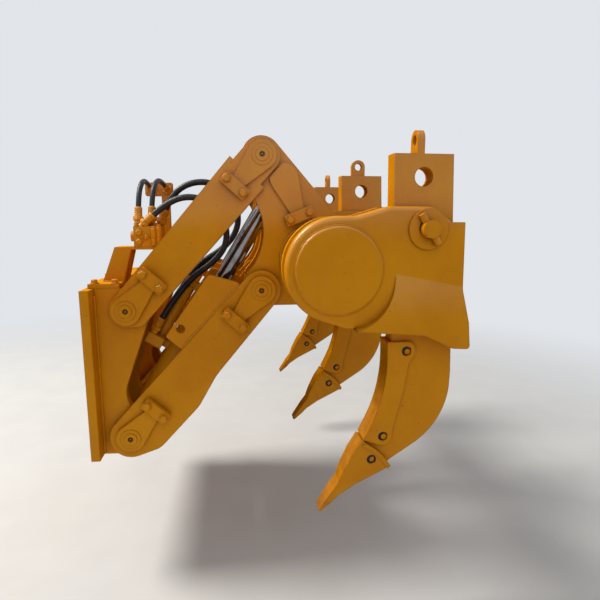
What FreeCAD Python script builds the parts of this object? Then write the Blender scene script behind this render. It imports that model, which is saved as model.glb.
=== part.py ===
"""Three-shank parallelogram ripper for a crawler tractor, with its mounting bracket.

Millimetres. X points rearwards from the bracket's mounting face, Y to the machine's right, Z up.
The origin is the centre of the mounting face, and the ripper stands fully raised.
Outlines are drawn in the X-Z plane, and plates are outlines given a thickness along Y.
Whatever comes in pairs is built on the right, at positive Y, and mirrored for the left.
"""
import FreeCAD
import Part
import math
import os

# Linkage, seen from the side, with the ripper raised
LOWER_FRONT_PIN = (175.0, -306.0)
PIN_RISE = (10.0, 604.0)
LINK_LENGTH = 924.0
LINK_ANGLE = 48.1
ROD_EYE_OFFSET = (110.0, 507.0)
TUBE_OFFSET = (259.0, 137.0)
SHANK_PIN_OFFSET = (588.0, 286.0)

# Pins
PIN_RADIUS = 41.0
PIN_FIT = 0.1
OPEN_PIVOT_FIT = 0.5
GREASE_RADIUS = 12.0
GREASE_DEPTH = 14.0

# Lateral stack, from the outer face of the inner ears outwards
INNER_EAR_FACE = 222.0
OUTER_EAR_FACE = 420.0
EAR_THICKNESS = 45.0
SIDE_GAP = 5.0
ARM_PLATE = 30.0
LINK_INNER_PLATE = 22.0
FLAG_PLATE = 18.0
KEEPER_BAR = 24.0

# Bracket
BRACKET_HALF_WIDTH = 540.0
BRACKET_PLATE = 40.0
BRACKET_UPPER_LOBE = 98.0
BRACKET_LOWER_LOBE = 95.0
BRACKET_NECK_RADIUS = 140.0
BRACKET_NECK_RISE = 206.0
BRACKET_NECK_REACH = 157.0
BRACKET_DECK = 25.0
BRACKET_DECK_REACH = 105.0
BOLT_RADIUS = 21.0
BOLT_COLUMN = 321.0
BOLT_ROWS = (340.0, 120.0)
CROSS_PLATE = 30.0
CROSS_PLATE_REACH = 92.0

# Upper links
LINK_HALF_DEPTH = 100.0
LINK_FRONT_LUG = 77.0
LINK_FRONT_CORNER = (10.0, -54.0, 46.0)
LINK_REAR_LUG = 81.0
LINK_BOX_SHY = 100.0
LINK_BELLY_SHY = 230.0
LINK_WEB = 16.0
LINK_WEB_START = 190.0

# Lower arm
ARM_FRONT_LOBE = 98.0
ARM_REAR_LOBE = 90.0
ARM_HALF_DEPTH = 97.0
ARM_FRONT_BELLY = (70.0, -40.0)
ARM_BELLY = (300.0, 7.0, 150.0)
ARM_HOLLOW = (520.0, -406.0, -300.0)
ARM_GUARD_START = 473.0
ARM_GUARD_DEPTH = 60.0
ARM_GUARD_HEIGHT = 190.0
ARM_GUARD_PEAK = 229.0
ARM_GUARD_PEAK_SHY = 103.0
ARM_GUARD_FOOT = 106.0
ARM_GUARD_FOOT_SHY = 46.0
ARM_GUARD_RECESS = 7.0
ARM_GUARD_HOLE = 20.0
ARM_GUARD_HOLE_PLACE = (545.0, 160.0)
ARM_BELLY_PLATE = 16.0
ARM_BELLY_START = 250.0
ARM_BELLY_SHY = 124.0
ARM_TUBE_RADIUS = 100.0
ARM_TUBE_WALL = 20.0
ARM_TUBE_PLACE = 430.0

# Cylinders
BARREL_RADIUS = 72.0
BARREL_BORE = 57.0
BARREL_START = 118.0
GLAND_RADIUS = 78.0
GLAND_START = 705.0
GLAND_END = 785.0
ROD_RADIUS = 39.0
ROD_INNER_END = 637.0
PISTON_LENGTH = 60.0
EYE_HALF_WIDTH = 45.0
BASE_EYE_RADIUS = 82.0
ROD_EYE_RADIUS = 78.0
OIL_TUBE_RADIUS = 28.0
OIL_TUBE_OFFSET = 124.0
OIL_UNION_RADIUS = 33.0
OIL_BLOCK_START = 400.0
OIL_BLOCK_LENGTH = 52.0
OIL_BLOCK_HALF_WIDTH = 70.0
HOSE_STUB_END = 504.0
HOSE_STUB_OFFSET = 158.0
HOSE_STUB_SIDE = 50.0
HOSE_STUB_RADIUS = 18.0

# Tool beam
TUBE_RADIUS = 163.0
TUBE_WALL = 25.0
BEAM_HALF_WIDTH = 1000.0
CAP_PROUD = 10.0
CAP_THICKNESS = 30.0
EAR_TOP_LOBE = 88.0
EAR_BOTTOM_LOBE = 78.0
EAR_TUBE_LOBE = TUBE_RADIUS + 43
EAR_ROD_LOBE = 100.0
EAR_HOLLOW_RADIUS = 276.0
EAR_HOLLOW_CENTRE = (-260.0, 268.0)
ROD_BOSS_RADIUS = 50.0
POCKET_LOBE = TUBE_RADIUS + 34
POCKET_PLATE = 44.5
POCKET_GAP = 3.0
POCKET_ROUND = 18.0
POCKET_BOSS_RADIUS = 75.0
POCKET_BOSS_PROUD = 9.0
POCKET_BLOCK_DROP = 362.0
POCKET_BLOCK_RISE = 30.0
CHEEK_INNER_RADIUS = 226.0
CHEEK_FOLD = ((-119.0, -162.0), (147.0, -216.0))
CHEEK_SLOPE = 0.19

# Shanks and their points
SHANK_THICKNESS = 75.0
SHANK_HEAD_CHAMFER = 5.0
SHANK_PIN_RADIUS = 33.0
SHANK_HOLE_RADIUS = 35.0
SHANK_HOLE_PITCH = 190.0
SHANK_PIN_PROUD = 36.0
CROSS_BAR_RADIUS = 13.0
CROSS_BAR_HALF_LENGTH = 64.0
LUG_THICKNESS = 27.0
LUG_HALF_WIDTH = 37.0
LUG_HEIGHT = 87.0
LUG_HOLE = 19.0
LUG_AHEAD = 12.0
WEAR_WALL = 12.0
POINT_END_HALF_WIDTH = 33.0
WEAR_PIN_RADIUS = 12.0
WEAR_SOCKET_RADIUS = 19.0
WEAR_SOCKET_SHIFT = (-6.0, 4.0)
WEAR_LOBE = 38.0
POINT_RIM = 3.0

# Valve stand, oil manifold and hose post on the bracket's left
STAND_RISE = 180.0
STAND_FOOT = 20.0
STAND_PLATE = 12.0
STAND_FRONT = 118.0
STAND_REAR = 333.0
STAND_LEAN = 41.0
STAND_SPAN = (-362.0, -238.0)
MANIFOLD_LENGTH = 126.0
MANIFOLD_HEIGHT = 96.0
POST_WIDTH = 44.0
POST_HEAD = (205.0, 350.0)
POST_HEAD_DEPTH = 72.0
POST_RISE = 322.0
PORT_RADIUS = 16.0
FERRULE_RADIUS = 18.0
FERRULE_LENGTH = 50.0

# Hoses: each route is the corners of its straight runs, and BEND is the share of a run in a corner's arc
LIFT_HOSE = 30.0
SUPPLY_HOSE = 25.0
BEND = 0.45
LIFT_HOSE_OUTER = [(275, -340, 703), (361, -341, 786), (483, -344, 817), (595, -350, 762), (646, -355, 648),
                   (611, -358, 528), (417, -358, 397), (302.4, -358, 207.5)]
LIFT_HOSE_INNER = [(331, -258, 721), (372, -258, 823), (474, -258, 887), (594, -258, 878), (684, -258, 791),
                   (697, -258, 667), (627, -258, 564), (461, -258, 468), (302.4, -258, 207.5)]
SUPPLY_HOSE_FRONT = [(222, -300, 730), (224, -284, 819), (229, -219, 884), (234, -125, 897), (238, -41, 866)]
SUPPLY_HOSE_REAR = [(284, -300, 733), (287, -284, 822), (296, -219, 887), (308, -125, 900), (320, -41, 869)]

V = FreeCAD.Vector


def moved(point, step):
    return (point[0] + step[0], point[1] + step[1])


LINK_STEP = (LINK_LENGTH * math.cos(math.radians(LINK_ANGLE)),
             LINK_LENGTH * math.sin(math.radians(LINK_ANGLE)))
UPPER_FRONT_PIN = moved(LOWER_FRONT_PIN, PIN_RISE)
LOWER_REAR_PIN = moved(LOWER_FRONT_PIN, LINK_STEP)
UPPER_REAR_PIN = moved(UPPER_FRONT_PIN, LINK_STEP)
ROD_PIN = moved(LOWER_REAR_PIN, ROD_EYE_OFFSET)
TUBE = moved(LOWER_REAR_PIN, TUBE_OFFSET)
SHANK_PIN = moved(LOWER_REAR_PIN, SHANK_PIN_OFFSET)
BRACKET_HALF_HEIGHT = UPPER_FRONT_PIN[1] + BRACKET_UPPER_LOBE
SHANK_SPACING = BEAM_HALF_WIDTH - POCKET_PLATE - POCKET_GAP - SHANK_THICKNESS / 2

INNER_EAR = (INNER_EAR_FACE - EAR_THICKNESS, INNER_EAR_FACE)
OUTER_EAR = (OUTER_EAR_FACE, OUTER_EAR_FACE + EAR_THICKNESS)
ARM_INNER = (INNER_EAR[0] - SIDE_GAP - ARM_PLATE, INNER_EAR[0] - SIDE_GAP)
ARM_OUTER = (OUTER_EAR[1] + SIDE_GAP, OUTER_EAR[1] + SIDE_GAP + ARM_PLATE)
LINK_INNER = (OUTER_EAR[0] - SIDE_GAP - LINK_INNER_PLATE, OUTER_EAR[0] - SIDE_GAP)
FLAG = (ARM_OUTER[1], ARM_OUTER[1] + FLAG_PLATE)
KEEPER = (FLAG[1], FLAG[1] + KEEPER_BAR)
LANE = (INNER_EAR[1] + OUTER_EAR[0]) / 2.0 - 13.0
EYE = (LANE - EYE_HALF_WIDTH, LANE + EYE_HALF_WIDTH)


# Outlines
def point(x, z):
    return V(x, 0, z)


def path(*steps):
    """Closed wire through (x, z) points. A pair of points is an arc by way of the first."""
    first = steps[0]
    here = first
    edges = []
    for step in steps[1:] + (first,):
        if isinstance(step[0], tuple):
            edges.append(Part.Arc(point(*here), point(*step[0]), point(*step[1])).toShape())
            here = step[1]
        else:
            edges.append(Part.LineSegment(point(*here), point(*step)).toShape())
            here = step
    return Part.Wire(edges)


def belt(*rounds):
    """Closed wire drawn counterclockwise round (x, z, radius) circles like a belt.

    A radius of 0 is a sharp corner, and a negative radius is a hollow round.
    """
    count = len(rounds)
    headings = []
    for i in range(count):
        x0, z0, r0 = rounds[i]
        x1, z1, r1 = rounds[(i + 1) % count]
        span = math.hypot(x1 - x0, z1 - z0)
        headings.append(math.atan2(z1 - z0, x1 - x0) + math.asin((r0 - r1) / span))

    def touch(circle, heading):
        x, z, r = circle
        return point(x + r * math.sin(heading), z - r * math.cos(heading))

    edges = []
    for i in range(count):
        here = rounds[i]
        come = headings[i - 1]
        go = headings[i]
        if here[2] > 0:
            turn = (go - come) % (2 * math.pi)
        else:
            turn = -((come - go) % (2 * math.pi))
        if here[2] and 1e-4 < abs(turn) < 2 * math.pi - 1e-4:
            middle = touch(here, come + turn / 2)
            edges.append(Part.Arc(touch(here, come), middle, touch(here, go)).toShape())
        edges.append(Part.LineSegment(touch(here, go), touch(rounds[(i + 1) % count], go)).toShape())
    return Part.Wire(edges)


def lobe(centre, radius):
    return (centre[0], centre[1], radius)


# Solids
def plate(wire, span):
    """A plate of the wire's outline between two Y values."""
    solid = Part.Face(wire).extrude(V(0, span[1] - span[0], 0))
    solid.translate(V(0, span[0], 0))
    return solid


def rod(centre, radius, span):
    """A round bar along Y."""
    return Part.makeCylinder(radius, span[1] - span[0], V(centre[0], span[0], centre[1]), V(0, 1, 0))


def ring(centre, outer, inner, span):
    return rod(centre, outer, span).cut(rod(centre, inner, span))


def block(x, y, z):
    """A box between pairs of X, Y and Z values."""
    return Part.makeBox(x[1] - x[0], y[1] - y[0], z[1] - z[0], V(x[0], y[0], z[0]))


def laid(shape, start, end):
    """Turns and moves a shape drawn along +X from the origin onto the line from start to end."""
    angle = math.degrees(math.atan2(end[1] - start[1], end[0] - start[0]))
    shape.rotate(V(0, 0, 0), V(0, 1, 0), -angle)
    shape.translate(V(start[0], 0, start[1]))
    return shape


def joined(first, *others):
    return first.fuse(list(others)).removeSplitter()


def edges_at(shape, y):
    """The edges that lie wholly at one Y value."""
    return [e for e in shape.Edges if abs(e.BoundBox.YMin - y) < 0.01 and abs(e.BoundBox.YMax - y) < 0.01]


def mirrored(shape):
    return shape.mirror(V(0, 0, 0), V(0, 1, 0))


def centred(middle, width):
    return (middle - width / 2.0, middle + width / 2.0)


# Bracket
def bracket_plate():
    solid = block((0, BRACKET_PLATE), (-BRACKET_HALF_WIDTH, BRACKET_HALF_WIDTH),
                  (-BRACKET_HALF_HEIGHT, BRACKET_HALF_HEIGHT))
    holes = []
    for y in (-BOLT_COLUMN, BOLT_COLUMN):
        for row in BOLT_ROWS:
            for z in (-row, row):
                holes.append(Part.makeCylinder(BOLT_RADIUS, BRACKET_PLATE, V(0, y, z), V(1, 0, 0)))
    solid = solid.cut(holes)
    top = block((BRACKET_PLATE, CROSS_PLATE_REACH), (-INNER_EAR[0], INNER_EAR[0]),
                (BRACKET_HALF_HEIGHT - CROSS_PLATE, BRACKET_HALF_HEIGHT))
    bottom = block((BRACKET_PLATE, CROSS_PLATE_REACH), (-ARM_INNER[0] + SIDE_GAP, ARM_INNER[0] - SIDE_GAP),
                   (-BRACKET_HALF_HEIGHT, -BRACKET_HALF_HEIGHT + CROSS_PLATE))
    return joined(solid, top, bottom)


def bracket_ear_outline():
    neck = (BRACKET_NECK_REACH + BRACKET_NECK_RADIUS, LOWER_FRONT_PIN[1] + BRACKET_NECK_RISE)
    return belt((BRACKET_PLATE, -BRACKET_HALF_HEIGHT, 0), lobe(LOWER_FRONT_PIN, BRACKET_LOWER_LOBE),
                lobe(neck, -BRACKET_NECK_RADIUS), lobe(UPPER_FRONT_PIN, BRACKET_UPPER_LOBE),
                (BRACKET_PLATE, BRACKET_HALF_HEIGHT, 0))


def bracket_ears():
    bore = PIN_RADIUS + PIN_FIT
    outer = plate(bracket_ear_outline(), OUTER_EAR)
    inner = plate(bracket_ear_outline(), INNER_EAR)
    deck = block((BRACKET_PLATE, BRACKET_DECK_REACH), (INNER_EAR[1], OUTER_EAR[0]),
                 (BRACKET_HALF_HEIGHT - BRACKET_DECK, BRACKET_HALF_HEIGHT))
    outer_boss = rod(LOWER_FRONT_PIN, BASE_EYE_RADIUS, (EYE[1] + SIDE_GAP, OUTER_EAR[0]))
    inner_boss = rod(LOWER_FRONT_PIN, BASE_EYE_RADIUS, (INNER_EAR[1], EYE[0] - SIDE_GAP))
    ears = joined(outer, inner, deck, outer_boss, inner_boss)
    across = (INNER_EAR[0] - 1, OUTER_EAR[1] + 1)
    return ears.cut([rod(LOWER_FRONT_PIN, bore, across), rod(UPPER_FRONT_PIN, bore, across)])


# Pins with the flag plates and keeper bars that hold them
FLAG_HUB = 66.0
COLLAR_RADIUS = 46.0
PIN_HEAD_RADIUS = 29.0
FLAG_NECK = 25.0
ROD_FLAG_FLAT = 50.0
KEEPER_REACH = 183.0
KEEPER_HALF_LENGTH = 68.0
KEEPER_HALF_WIDTH = 27.0
KEEPER_BOLT_PITCH = 94.0
KEEPER_PAD_RADIUS = 24.0
PIN_HEAD_PROUD = 6.0


def keeper(pin, aim):
    """The bar across the flag's tail, on its two pads."""
    reach = (KEEPER_REACH - KEEPER_HALF_WIDTH, KEEPER_REACH + KEEPER_HALF_WIDTH)
    bar = block(reach, KEEPER, (-KEEPER_HALF_LENGTH, KEEPER_HALF_LENGTH))
    bar = bar.makeFillet(6, [e for e in bar.Edges if abs(e.tangentAt(0).y) > 0.9])
    pads = [rod((KEEPER_REACH, n), KEEPER_PAD_RADIUS, FLAG)
            for n in (-KEEPER_BOLT_PITCH / 2, KEEPER_BOLT_PITCH / 2)]
    return laid(joined(bar, *pads), pin, aim)


def flag(pin, aim):
    tail = KEEPER_REACH + FLAG_NECK / 2
    return laid(plate(belt((0, 0, FLAG_HUB), (tail, -FLAG_NECK + 6, 6), (tail, FLAG_NECK - 6, 6)), FLAG),
                pin, aim)


def flagged_pin(pin, aim, inner_end):
    """A pin from inner_end to its flag, with the greasing recess in its head."""
    face = FLAG[1] + PIN_HEAD_PROUD
    shaft = rod(pin, PIN_RADIUS, (inner_end, FLAG[1]))
    collar = rod(pin, COLLAR_RADIUS, (FLAG[1], FLAG[1] + PIN_HEAD_PROUD / 2))
    head = rod(pin, PIN_HEAD_RADIUS, (FLAG[1], face))
    recess = rod(pin, GREASE_RADIUS, (face - GREASE_DEPTH, face))
    return joined(flag(pin, aim), shaft, collar, head, keeper(pin, aim)).cut(recess)


def upper_link_pins():
    front = flagged_pin(UPPER_FRONT_PIN, UPPER_REAR_PIN, LINK_INNER[0])
    rear = flagged_pin(UPPER_REAR_PIN, UPPER_FRONT_PIN, LINK_INNER[0])
    return Part.makeCompound([front, rear])


def lower_arm_pins():
    front = flagged_pin(LOWER_FRONT_PIN, LOWER_REAR_PIN, ARM_INNER[0])
    rear = flagged_pin(LOWER_REAR_PIN, LOWER_FRONT_PIN, ARM_INNER[0])
    return Part.makeCompound([front, rear])


# Upper links
def upper_link():
    lugs = belt((0, 0, LINK_FRONT_LUG), (LINK_LENGTH, 0, LINK_REAR_LUG))
    stop = LINK_LENGTH - LINK_BOX_SHY
    box = belt((0, 0, LINK_FRONT_LUG), LINK_FRONT_CORNER,
               (stop, -LINK_HALF_DEPTH, 0), (stop, LINK_HALF_DEPTH, 0))
    between = (LINK_INNER[1], ARM_OUTER[0])
    parts = [plate(wire, span) for wire in (lugs, box) for span in (LINK_INNER, ARM_OUTER)]
    low = -LINK_HALF_DEPTH + 2
    rise = (LINK_HALF_DEPTH - LINK_FRONT_LUG) / stop
    top = LINK_FRONT_LUG + rise * LINK_WEB_START
    cover = path((LINK_WEB_START, top - LINK_WEB), (stop, LINK_HALF_DEPTH - LINK_WEB),
                 (stop, LINK_HALF_DEPTH), (LINK_WEB_START, top))
    parts.append(plate(cover, between))
    parts.append(block((LINK_WEB_START, LINK_LENGTH - LINK_BELLY_SHY), between, (low, low + LINK_WEB)))
    across = (LINK_INNER[0] - 1, ARM_OUTER[1] + 1)
    solid = joined(*parts)
    solid = solid.cut([rod((0, 0), PIN_RADIUS, across), rod((LINK_LENGTH, 0), PIN_RADIUS, across)])
    return laid(solid, UPPER_FRONT_PIN, UPPER_REAR_PIN)


# Lower arm, drawn along the line between its pins
def arm_outline():
    return belt(ARM_FRONT_BELLY + (ARM_FRONT_LOBE,), ARM_BELLY, ARM_HOLLOW,
                (LINK_LENGTH, 0, ARM_REAR_LOBE), (0, 0, ARM_FRONT_LOBE))


def guard_outline():
    """The guard along the arm's upper edge, which shields the cylinder."""
    foot = LINK_LENGTH - ARM_GUARD_FOOT_SHY
    peak = LINK_LENGTH - ARM_GUARD_PEAK_SHY
    return belt((ARM_GUARD_START, ARM_GUARD_DEPTH, 0), (foot, ARM_GUARD_DEPTH, 0), (foot, ARM_GUARD_FOOT, 0),
                (peak - 8, ARM_GUARD_PEAK - 14, 12), (ARM_GUARD_START + 8, ARM_GUARD_HEIGHT - 8, 8))


def arm_side(span, guard_span):
    across = (span[0] - 1, span[1] + 1)
    holes = [rod((0, 0), PIN_RADIUS, across), rod((LINK_LENGTH, 0), PIN_RADIUS, across),
             rod(ARM_GUARD_HOLE_PLACE, ARM_GUARD_HOLE, across)]
    side = joined(plate(arm_outline(), span), plate(guard_outline(), guard_span))
    return laid(side.cut(holes), LOWER_FRONT_PIN, LOWER_REAR_PIN)


def arm_middle():
    """The cross tube and the belly plate that hold the four side plates together."""
    between = (-ARM_INNER[0], ARM_INNER[0])
    tube = ring((ARM_TUBE_PLACE, 0), ARM_TUBE_RADIUS, ARM_TUBE_RADIUS - ARM_TUBE_WALL, between)
    low = -ARM_HALF_DEPTH + 2
    reach = (ARM_BELLY_START, LINK_LENGTH - ARM_BELLY_SHY)
    bellies = []
    for span in ((-ARM_OUTER[0], -ARM_INNER[1]), between, (ARM_INNER[1], ARM_OUTER[0])):
        bellies.append(block(reach, span, (low, low + ARM_BELLY_PLATE)))
    return laid(Part.makeCompound([tube] + bellies), LOWER_FRONT_PIN, LOWER_REAR_PIN)


# Cylinders, drawn along the line from the lower front pin to the rod's pin
def lane_bar(radius, start, stop):
    return Part.makeCylinder(radius, stop - start, V(start, LANE, 0), V(1, 0, 0))


def cylinder():
    eye = rod((0, 0), BASE_EYE_RADIUS, EYE)
    neck = lane_bar(BARREL_RADIUS - 6, 0, BARREL_START)
    neck = neck.common(block((0, BARREL_START), EYE, (-BARREL_RADIUS, BARREL_RADIUS)))
    barrel = lane_bar(BARREL_RADIUS, BARREL_START, GLAND_START)
    bore = lane_bar(BARREL_BORE, BARREL_START + 30, GLAND_START)
    gland = lane_bar(GLAND_RADIUS, GLAND_START, GLAND_END)
    gland_bore = lane_bar(ROD_RADIUS + PIN_FIT, GLAND_START - 1, GLAND_END + 1)
    solid = joined(eye, neck, barrel, gland).cut([bore, gland_bore])
    solid = solid.cut(rod((0, 0), PIN_RADIUS + PIN_FIT, (EYE[0] - 1, EYE[1] + 1)))
    return laid(solid, LOWER_FRONT_PIN, ROD_PIN)


def oil_tubes():
    """The steel line along the barrel, its hose block with two stubs, and its union at the gland."""
    block_stop = OIL_BLOCK_START + OIL_BLOCK_LENGTH
    line = Part.makeCylinder(OIL_TUBE_RADIUS, GLAND_END - 20 - block_stop,
                             V(block_stop, LANE, OIL_TUBE_OFFSET), V(1, 0, 0))
    union = Part.makeCylinder(OIL_UNION_RADIUS, 36, V(GLAND_END - 50, LANE, OIL_TUBE_OFFSET), V(1, 0, 0))
    drop = block((GLAND_END - 60, GLAND_END - 20), centred(LANE, 44), (GLAND_RADIUS - 6, OIL_TUBE_OFFSET))
    hose_block = block((OIL_BLOCK_START, block_stop), centred(LANE, 2 * OIL_BLOCK_HALF_WIDTH),
                       (OIL_TUBE_OFFSET - 30, HOSE_STUB_OFFSET + HOSE_STUB_RADIUS + 2))
    saddle = block((OIL_BLOCK_START + 8, block_stop - 8), centred(LANE, 60),
                   (BARREL_RADIUS - 6, OIL_TUBE_OFFSET - 30))
    stubs = [Part.makeCylinder(HOSE_STUB_RADIUS, HOSE_STUB_END - block_stop,
                               V(block_stop, LANE + side, HOSE_STUB_OFFSET), V(1, 0, 0))
             for side in (-HOSE_STUB_SIDE, HOSE_STUB_SIDE)]
    solid = joined(line, union, drop, hose_block, saddle, *stubs)
    solid = solid.cut(lane_bar(GLAND_RADIUS, GLAND_START, GLAND_END))
    solid = solid.cut(lane_bar(BARREL_RADIUS, BARREL_START, GLAND_START))
    return laid(solid, LOWER_FRONT_PIN, ROD_PIN)


def cylinder_with_line():
    return Part.makeCompound([cylinder(), oil_tubes()])


def piston_rod():
    length = math.hypot(ROD_PIN[0] - LOWER_FRONT_PIN[0], ROD_PIN[1] - LOWER_FRONT_PIN[1])
    shaft = lane_bar(ROD_RADIUS, ROD_INNER_END, length)
    piston = lane_bar(BARREL_BORE - PIN_FIT, ROD_INNER_END, ROD_INNER_END + PISTON_LENGTH)
    eye = rod((length, 0), ROD_EYE_RADIUS, EYE)
    return laid(joined(shaft, piston, eye), LOWER_FRONT_PIN, ROD_PIN)


# Tool beam
def beam_tube():
    tube = ring(TUBE, TUBE_RADIUS, TUBE_RADIUS - TUBE_WALL, (-BEAM_HALF_WIDTH, BEAM_HALF_WIDTH))
    caps = []
    for side in (-1, 1):
        face = side * (BEAM_HALF_WIDTH + CAP_PROUD)
        cap = rod(TUBE, TUBE_RADIUS, sorted((face, side * (BEAM_HALF_WIDTH - CAP_THICKNESS))))
        caps.append(cap.makeFillet(CAP_PROUD - 1, edges_at(cap, face)))
    return joined(tube, *caps)


def ear_plate(with_top, span):
    """An ear is the hull of its lobes, with the round hollow cut from its front edge."""
    base = [lobe(LOWER_REAR_PIN, EAR_BOTTOM_LOBE),
            (TUBE[0], LOWER_REAR_PIN[1] - EAR_BOTTOM_LOBE, 0),
            lobe(TUBE, EAR_TUBE_LOBE)]
    top = lobe(UPPER_REAR_PIN, EAR_TOP_LOBE) if with_top else lobe(ROD_PIN, EAR_ROD_LOBE)
    hollow = moved(LOWER_REAR_PIN, EAR_HOLLOW_CENTRE)
    solid = plate(belt(base[0], base[1], base[2], top), span)
    across = (span[0] - 1, span[1] + 1)
    return solid.cut([rod(hollow, EAR_HOLLOW_RADIUS, across), rod(TUBE, TUBE_RADIUS, across)])


def beam_ears():
    outer = ear_plate(True, OUTER_EAR)
    inner = ear_plate(False, INNER_EAR)
    bore = PIN_RADIUS + PIN_FIT
    wide = (INNER_EAR[0] - 1, OUTER_EAR[1] + 1)
    outer = outer.cut(rod(UPPER_REAR_PIN, PIN_RADIUS + OPEN_PIVOT_FIT, wide))
    outer = outer.cut(rod(LOWER_REAR_PIN, bore, wide))
    inner = inner.cut(rod(LOWER_REAR_PIN, bore, wide))
    outer = outer.fuse(rod(ROD_PIN, ROD_BOSS_RADIUS, (EYE[1] + SIDE_GAP, OUTER_EAR[0]))).removeSplitter()
    inner = inner.fuse(rod(ROD_PIN, ROD_BOSS_RADIUS, (INNER_EAR[1], EYE[0] - SIDE_GAP))).removeSplitter()
    return Part.makeCompound([outer, inner, rod_flag()])


def rod_flag():
    """The blind flag over the rod's pin, its hub cut flat where the upper link swings past."""
    shape = joined(flag(ROD_PIN, TUBE), keeper(ROD_PIN, TUBE))
    shape.translate(V(0, OUTER_EAR[1] - FLAG[0], 0))
    reach = 2 * FLAG_HUB
    cleared = block((-reach, reach), (OUTER_EAR[1], OUTER_EAR[1] + FLAG_PLATE), (ROD_FLAG_FLAT, reach))
    return shape.cut(laid(cleared, ROD_PIN, moved(ROD_PIN, LINK_STEP)))


def at_pin(x, z, *radius):
    """A point by its place from the shank's pin, with its round's radius if it has one."""
    return (SHANK_PIN[0] + x, SHANK_PIN[1] + z) + radius


def pocket_outline():
    return belt(lobe(TUBE, POCKET_LOBE), at_pin(-290, -300, 66), at_pin(-35, -490, -100),
                at_pin(110, -383, 60), at_pin(152, -432, 14), at_pin(166, -350, 0), at_pin(206, -225, -60),
                at_pin(138, 21, 4), at_pin(97, 25, 0), at_pin(0, 0, 82), at_pin(-140, 22, 60),
                at_pin(-280, 138, -90))


def pocket_side(span):
    holes = [rod(TUBE, TUBE_RADIUS, span), rod(SHANK_PIN, SHANK_PIN_RADIUS, span)]
    return plate(pocket_outline(), span).cut(holes)


def pocket_cheek(face):
    """The swelling below the fold on an end plate, which grows outwards to the plate's lower edge."""
    fold_start, fold_end = at_pin(*CHEEK_FOLD[0]), at_pin(*CHEEK_FOLD[1])
    middle = moved(TUBE, (CHEEK_INNER_RADIUS * math.cos(math.radians(-45)),
                          CHEEK_INNER_RADIUS * math.sin(math.radians(-45))))
    bottom = moved(TUBE, (CHEEK_INNER_RADIUS * math.cos(math.radians(-80)),
                          CHEEK_INNER_RADIUS * math.sin(math.radians(-80))))
    low = TUBE[1] - 2 * CHEEK_INNER_RADIUS
    far = fold_end[0] + CHEEK_INNER_RADIUS
    drop = (fold_end[1] - fold_start[1]) / (fold_end[0] - fold_start[0])
    region = path(bottom, (middle, fold_start), (far, fold_start[1] + drop * (far - fold_start[0])),
                  (far, low), (bottom[0], low))
    reach = 3 * CHEEK_INNER_RADIUS
    start = V(fold_start[0] - reach, face, fold_start[1] - drop * reach)
    along = V(2 * reach, 0, 2 * drop * reach)
    down = V(drop, 0, -1)
    down.normalize()
    slope = [start - V(0, POCKET_ROUND, 0), start + down * reach - V(0, POCKET_ROUND, 0),
             start + down * reach + V(0, CHEEK_SLOPE * reach, 0), start]
    wedge = Part.Face(Part.makePolygon(slope + slope[:1])).extrude(along)
    span = (face - POCKET_ROUND, face + CHEEK_SLOPE * reach)
    return plate(region, span).common(plate(pocket_outline(), span)).common(wedge)


def end_plate(span):
    """The outermost side plate, with its rounded edge and its cheek."""
    side = pocket_side(span)
    lobe_edge = [e for e in edges_at(side, span[1]) if abs(e.BoundBox.XMin - (TUBE[0] - POCKET_LOBE)) < 1]
    return joined(side.makeFillet(POCKET_ROUND, lobe_edge), pocket_cheek(span[1]))


def pocket(row):
    """Two side plates, and the blocks before and behind the shank's slot."""
    middle = abs(row) * SHANK_SPACING
    gap = SHANK_THICKNESS / 2 + POCKET_GAP
    inner = (middle - gap - POCKET_PLATE, middle - gap)
    outer = (middle + gap, middle + gap + POCKET_PLATE)
    sides = [pocket_side(inner), end_plate(outer) if row else pocket_side(outer)]
    for boss in ((outer[1], outer[1] + POCKET_BOSS_PROUD), (inner[0] - POCKET_BOSS_PROUD, inner[0])):
        sides.append(ring(SHANK_PIN, POCKET_BOSS_RADIUS, SHANK_PIN_RADIUS, boss))
    slot = (middle - gap, middle + gap)
    low = SHANK_PIN[1] - POCKET_BLOCK_DROP
    top = SHANK_PIN[1] + POCKET_BLOCK_RISE
    start = TUBE[0] + 60
    front_block = plate(path((start, top), (start, low), (shank_front(low) - POCKET_GAP, low),
                             (shank_front(top) - POCKET_GAP, top)), slot)
    front_block = front_block.cut(rod(TUBE, TUBE_RADIUS, slot))
    rear_top = SHANK_PIN[1] + 10
    rear_block = plate(path((shank_rear(low) + POCKET_GAP, low), (SHANK_PIN[0] + 150, low),
                            (SHANK_PIN[0] + 136, rear_top),
                            (shank_rear(rear_top) + POCKET_GAP, rear_top)), slot)
    solid = joined(*sides, front_block, rear_block)
    return mirrored(solid) if row < 0 else solid


# Shanks, by the points of their outline
SHANK_FRONT_TOP = at_pin(-122, 273)
SHANK_FRONT_LOW = at_pin(-112, -425)
SHANK_REAR_TOP = at_pin(106, 273)
SHANK_REAR_LOW = at_pin(135, -560)
SHANK_TOP = SHANK_FRONT_TOP[1]


def shank_front(z):
    share = (SHANK_FRONT_TOP[1] - z) / (SHANK_FRONT_TOP[1] - SHANK_FRONT_LOW[1])
    return SHANK_FRONT_TOP[0] + share * (SHANK_FRONT_LOW[0] - SHANK_FRONT_TOP[0])


def shank_rear(z):
    share = (SHANK_REAR_TOP[1] - z) / (SHANK_REAR_TOP[1] - SHANK_REAR_LOW[1])
    return SHANK_REAR_TOP[0] + share * (SHANK_REAR_LOW[0] - SHANK_REAR_TOP[0])


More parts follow.
